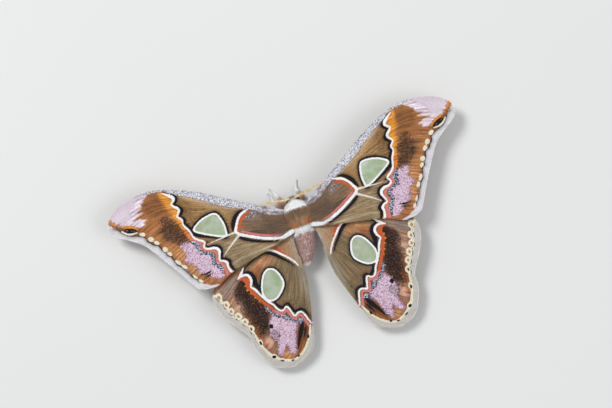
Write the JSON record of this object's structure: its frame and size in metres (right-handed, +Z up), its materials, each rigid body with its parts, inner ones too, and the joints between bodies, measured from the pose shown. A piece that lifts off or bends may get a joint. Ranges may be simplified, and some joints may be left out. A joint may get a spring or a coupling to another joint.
{
  "type": "window-winged silkmoth",
  "caption": "Brown silkmoth at rest, wings spread flat, with a clear window in each wing, feathered feelers and small feet to stand on.",
  "frame": {"origin": "on the floor under the middle of the moth's plan, its feet on the plane Z = 0", "axes": "+Y towards the head, +X towards the moth's right wing, +Z up out of its back"},
  "size_m": [0.1282, 0.075, 0.0121],
  "materials": {
    "head_hair": "hairy",
    "thorax_hair": "hairy",
    "abdomen_scale": "scaly",
    "eye": "glossy",
    "antenna": "satin",
    "wing": "matt scales",
    "leg": "hairy"
  },
  "bodies": {
    "root": {"head": "head_hair", "thorax": "thorax_hair", "abdomen": "abdomen_scale", "eye_left": "eye", "eye_right": "eye", "antenna_left": "antenna", "antenna_right": "antenna", "forewing_left": "wing", "forewing_right": "wing", "hindwing_left": "wing", "hindwing_right": "wing", "leg_front_left": "leg", "leg_front_right": "leg", "leg_mid_left": "leg", "leg_mid_right": "leg", "leg_hind_left": "leg", "leg_hind_right": "leg"}
  },
  "joints": []
}
